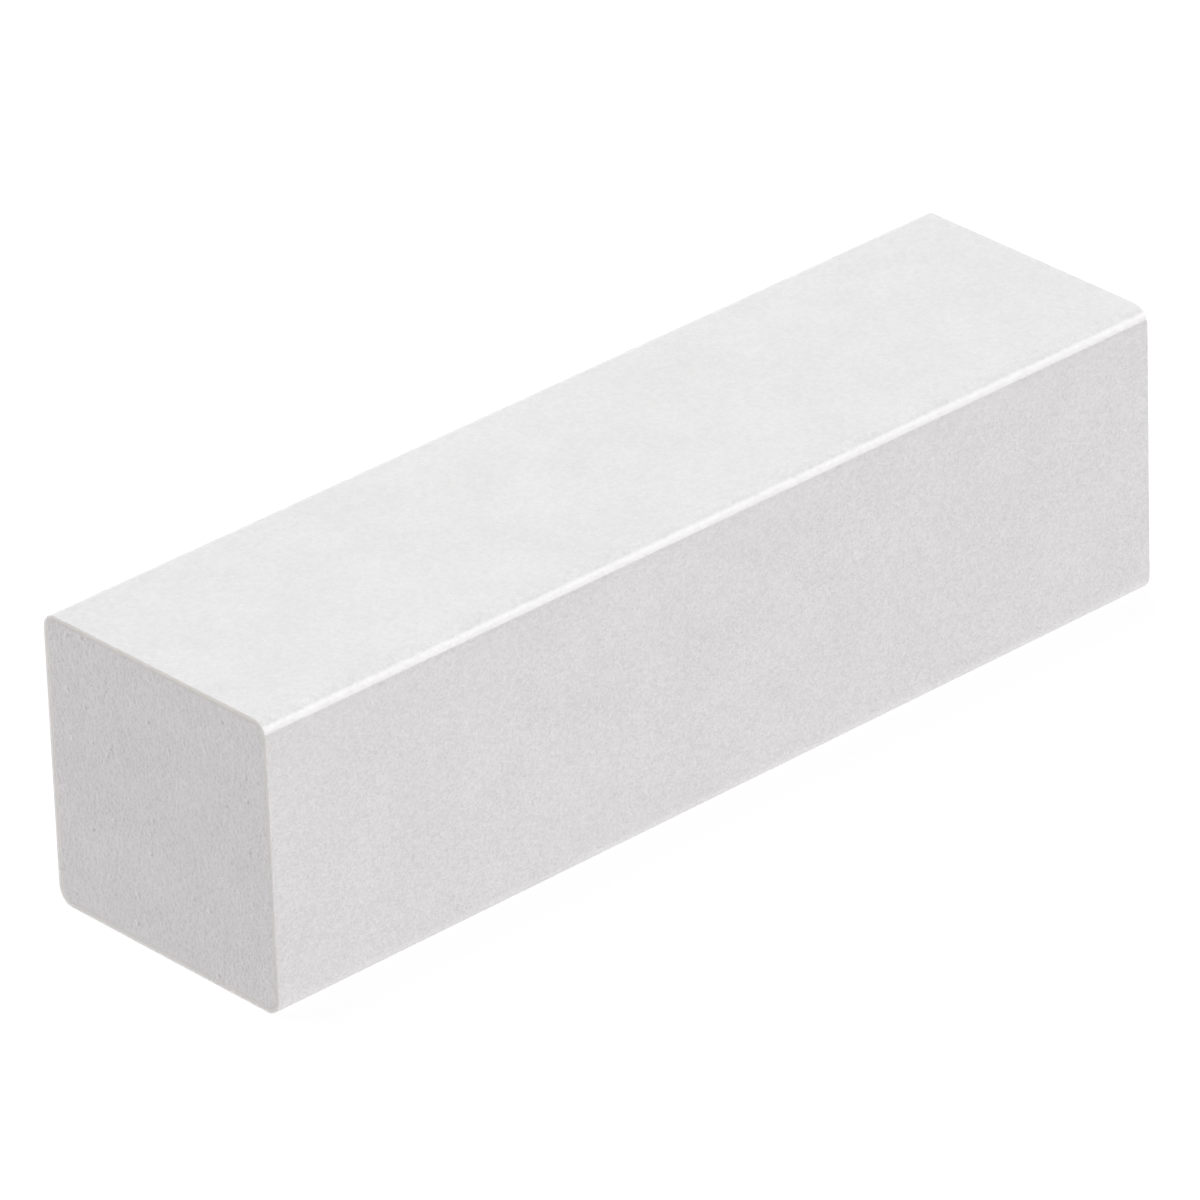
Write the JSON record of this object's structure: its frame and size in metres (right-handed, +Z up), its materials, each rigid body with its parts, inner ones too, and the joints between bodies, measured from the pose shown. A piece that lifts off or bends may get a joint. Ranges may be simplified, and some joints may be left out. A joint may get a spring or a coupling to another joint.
{
  "type": "nail buffer block",
  "caption": "Square foam block wrapped on its four long faces in one glued sheet of white coated abrasive, with both ends cut flush.",
  "frame": {"origin": "centre of the long face that the block rests on", "axes": "+X along the block's length, +Y towards the long face with the seam, +Z up"},
  "size_m": [0.095, 0.026, 0.026],
  "materials": {
    "foam": "fine closed-cell white foam, cut open at both ends",
    "glue": "thin dried glue, faintly yellow",
    "paper": "cream backing paper, seen only at its cut edges",
    "grit": "fine white bonded grit, matt"
  },
  "bodies": {
    "root": {"foam_core": "foam", "glue_film": "glue", "backing_paper": "paper", "grit_coat": "grit"}
  },
  "joints": []
}
